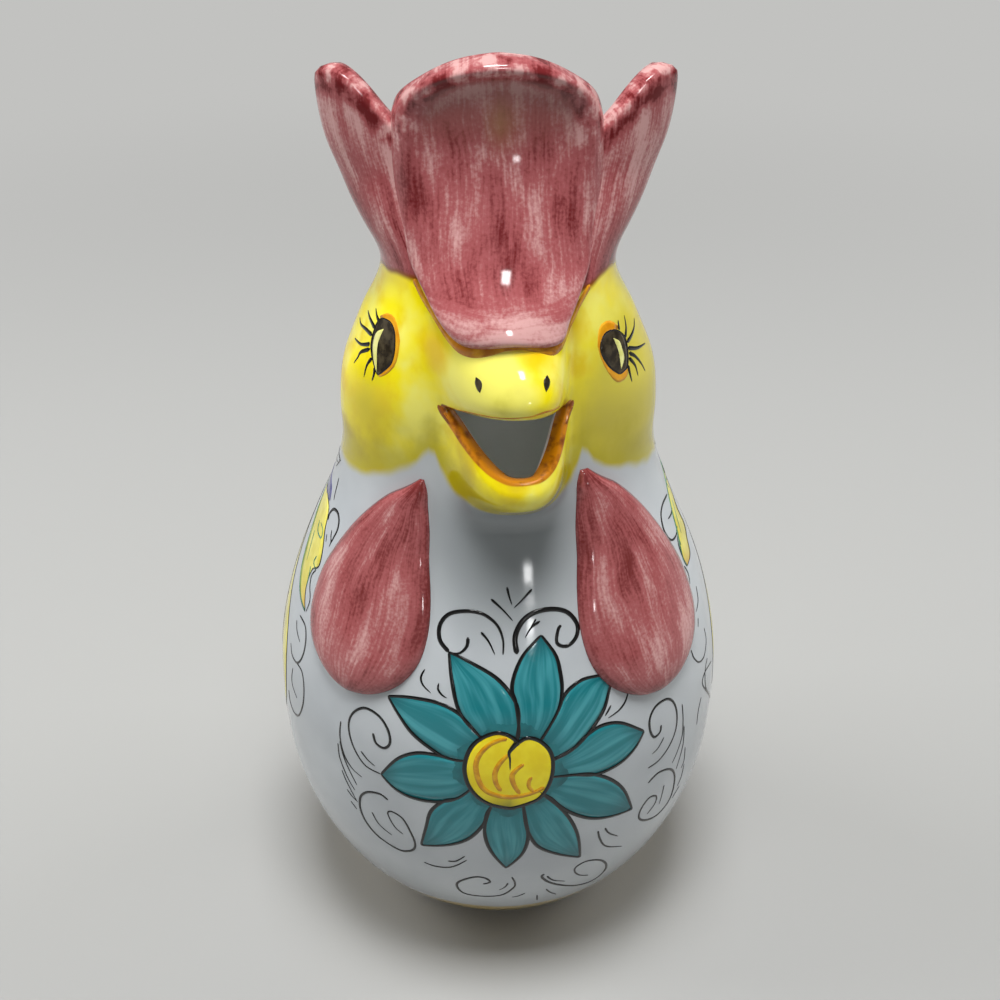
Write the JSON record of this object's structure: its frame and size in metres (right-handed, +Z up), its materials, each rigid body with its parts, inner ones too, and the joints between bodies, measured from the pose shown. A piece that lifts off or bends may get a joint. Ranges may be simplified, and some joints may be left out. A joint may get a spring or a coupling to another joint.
{
  "type": "pitcher",
  "caption": "Rooster-shaped earthenware pitcher: round belly, open beak as spout, comb crown as filling mouth, raised wattles and a loop handle.",
  "frame": {"origin": "centre of the foot, on the surface that the pitcher stands on", "axes": "+Z up, front of the pitcher and its beak towards -Y, handle towards +Y"},
  "size_m": [0.1298, 0.1508, 0.261],
  "materials": {
    "white_glaze": "glossy bluish-white tin glaze with painted flowers and scrolls",
    "yellow_glaze": "glossy lemon yellow glaze, brushed on",
    "red_glaze": "glossy glaze over wine-red brush strokes",
    "bare_clay": "matt fired earthenware"
  },
  "bodies": {
    "root": {"foot": "bare_clay", "belly_shell": "white_glaze", "neck_shell": "white_glaze", "head_shell": "yellow_glaze", "comb_front_petal": "red_glaze", "comb_left_petal": "red_glaze", "comb_right_petal": "red_glaze", "wattle_left": "red_glaze", "wattle_right": "red_glaze", "handle": "yellow_glaze"}
  },
  "joints": []
}
